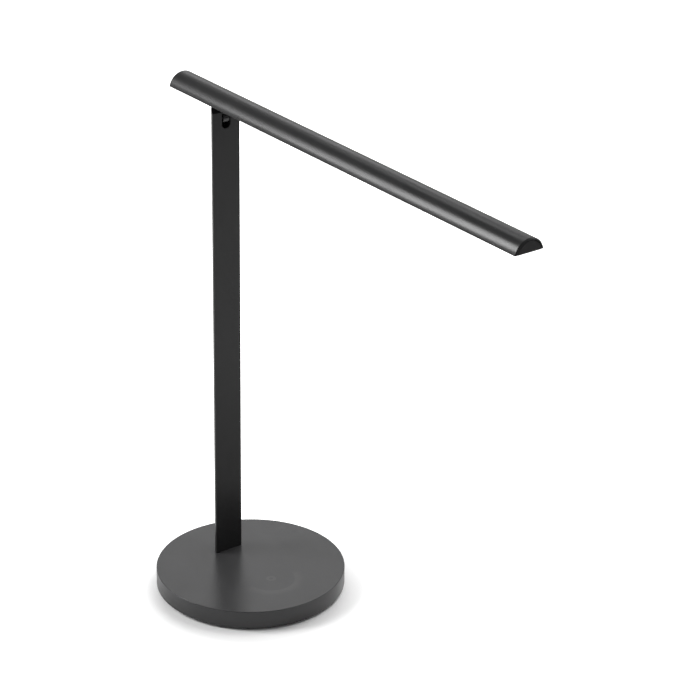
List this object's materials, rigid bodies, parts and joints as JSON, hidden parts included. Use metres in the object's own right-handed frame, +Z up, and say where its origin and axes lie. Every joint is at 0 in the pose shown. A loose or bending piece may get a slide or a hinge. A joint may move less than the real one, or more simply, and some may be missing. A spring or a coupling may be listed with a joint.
{
  "type": "folding LED desk lamp",
  "caption": "Desk lamp with a round weighted base, a flat upright stem and a long slim lamp head that folds down against the stem on a friction hinge.",
  "frame": {"origin": "centre of the round base, in the plane of the foot ring's underside, which is the table top", "axes": "+Z up, -Y forward along the lamp head, +X to the right for someone in front of the lamp looking along +Y; hinge axis along +X"},
  "size_m": [0.16, 0.434, 0.4327],
  "materials": {
    "cover_plastic": "satin black moulded cover",
    "plate_plastic": "matt black moulded plate",
    "weight_steel": "plain steel",
    "foot_rubber": "matt black rubber",
    "screw_steel": "zinc-plated steel screws",
    "board_green": "green solder mask on glass-fibre board",
    "component_black": "black moulded components",
    "copper_foil": "bare copper foil",
    "spring_brass": "plated bronze wire",
    "inlet_plastic": "matt black moulded inlet",
    "contact_metal": "tinned brass contacts",
    "lead_sleeve": "black cable sleeve",
    "clamp_steel": "plain steel",
    "block_metal": "plain cast light alloy",
    "stem_paint": "satin black coat on an aluminium extrusion",
    "black_screw": "blackened steel screws",
    "hinge_metal": "satin black cast light alloy",
    "washer_plastic": "grey friction plastic",
    "spring_steel": "bright spring steel",
    "pin_steel": "bright steel tube",
    "arm_metal": "satin black cast light alloy",
    "plate_steel": "plain steel",
    "head_paint": "satin black coat on an aluminium extrusion",
    "light_board": "white mask on an aluminium-core board",
    "led_package": "yellow phosphor under clear resin",
    "opal_plastic": "opal light-spreading plastic",
    "trim_plastic": "satin black moulded trim"
  },
  "bodies": {
    "stand": {"base_cover": "cover_plastic", "base_plate": "plate_plastic", "base_weight": "weight_steel", "foot_ring": "foot_rubber", "base_screws": "screw_steel", "weight_screws": "screw_steel", "control_board": "board_green", "board_parts": "component_black", "board_screws": "screw_steel", "touch_electrode": "copper_foil", "touch_spring": "spring_brass", "dc_jack": "inlet_plastic", "jack_contacts": "contact_metal", "jack_lead": "lead_sleeve", "foot_clamp": "clamp_steel", "foot_screws": "screw_steel", "foot_block": "block_metal", "stem_tube": "stem_paint", "stem_screws": "black_screw", "stem_lead": "lead_sleeve", "hinge_block": "hinge_metal", "friction_washers": "washer_plastic", "spring_washers": "spring_steel"},
    "head": {"hinge_arm": "arm_metal", "hinge_pin": "pin_steel", "arm_screws": "screw_steel", "arm_nut_plate": "plate_steel", "head_shell": "head_paint", "led_board": "light_board", "led_screws": "screw_steel", "leds": "led_package", "diffuser": "opal_plastic", "rear_cover": "trim_plastic", "front_cap": "trim_plastic", "rear_cap": "trim_plastic", "head_lead": "lead_sleeve"}
  },
  "joints": [
    {"name": "head_fold", "type": "hinge", "parent": "stand", "child": "head", "pos_m": [0, 0.0366, 0.4101], "axis": [1, 0, 0], "range_deg": [0, 90]}
  ]
}
